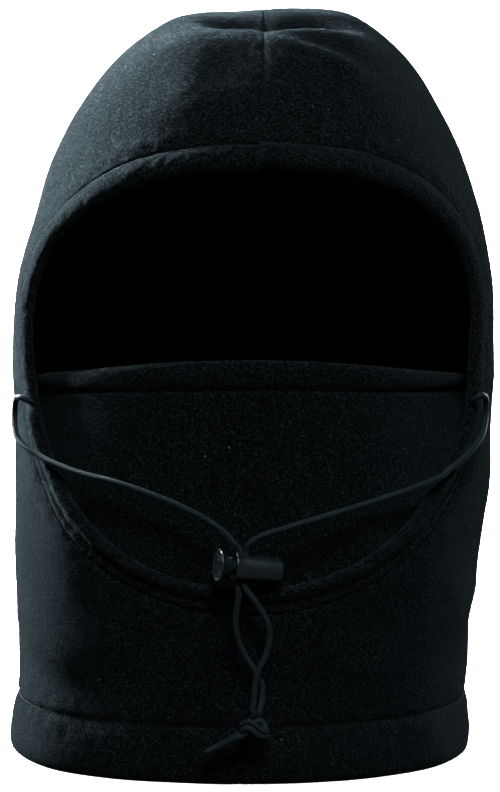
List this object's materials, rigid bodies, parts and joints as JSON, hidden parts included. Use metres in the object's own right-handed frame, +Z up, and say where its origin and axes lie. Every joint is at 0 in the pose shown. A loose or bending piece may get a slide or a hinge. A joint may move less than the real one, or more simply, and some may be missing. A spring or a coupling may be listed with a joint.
{
  "type": "balaclava",
  "caption": "Fleece balaclava: hood with a cased face opening, a pull-down mask panel, a turned neck hem and an elastic drawcord with a sprung barrel cord lock and a knotted tail.",
  "frame": {"origin": "middle of the box round the hood, at the height of the neck hem's lower edge; the drawcord and its lock aren't counted", "axes": "+Z up through the crown, -Y the way the wearer faces, +X on the right seen from the front, which is the wearer's left"},
  "size_m": [0.2392, 0.2051, 0.364],
  "materials": {
    "fleece": "matte",
    "elastic_cord": "matte",
    "sewing_thread": "matte",
    "lock_plastic": "satin",
    "spring_steel": "satin"
  },
  "bodies": {
    "hood": {"hood_panel_left": "fleece", "hood_panel_right": "fleece", "face_casing_left": "fleece", "face_casing_right": "fleece", "neck_hem_left": "fleece", "neck_hem_right": "fleece", "casing_stitch_left": "sewing_thread", "casing_stitch_right": "sewing_thread", "crown_seam_thread": "sewing_thread", "neck_seam_thread": "sewing_thread", "hem_stitch": "sewing_thread", "elastic_in_casing": "elastic_cord", "elastic_left": "elastic_cord", "elastic_right": "elastic_cord", "elastic_left_tail": "elastic_cord", "elastic_right_tail": "elastic_cord", "elastic_knot": "elastic_cord", "elastic_end_left": "elastic_cord", "elastic_end_right": "elastic_cord"},
    "mask": {"mask_panel": "fleece", "mask_top_hem": "fleece", "mask_hem_stitch": "sewing_thread"},
    "cord_lock": {"cord_lock_barrel": "lock_plastic", "cord_lock_spring": "spring_steel"},
    "plunger": {"cord_lock_plunger": "lock_plastic"}
  },
  "joints": [
    {"name": "mask_pull_down", "type": "slide", "parent": "hood", "child": "mask", "axis": [0, 0, -1], "range_m": [0, 0.045]},
    {"name": "lock_slide", "type": "slide", "parent": "hood", "child": "cord_lock", "axis": [0, 0, 1], "range_m": [0, 0.038], "deforming": ["elastic_left", "elastic_right", "elastic_left_tail", "elastic_right_tail"]},
    {"name": "plunger_press", "type": "slide", "parent": "cord_lock", "child": "plunger", "axis": [0.9418, 0.306, -0.1392], "range_m": [0, 0.0025], "stiffness_N_per_m": 400, "springref_m": -0.004, "deforming": ["cord_lock_spring"]}
  ]
}
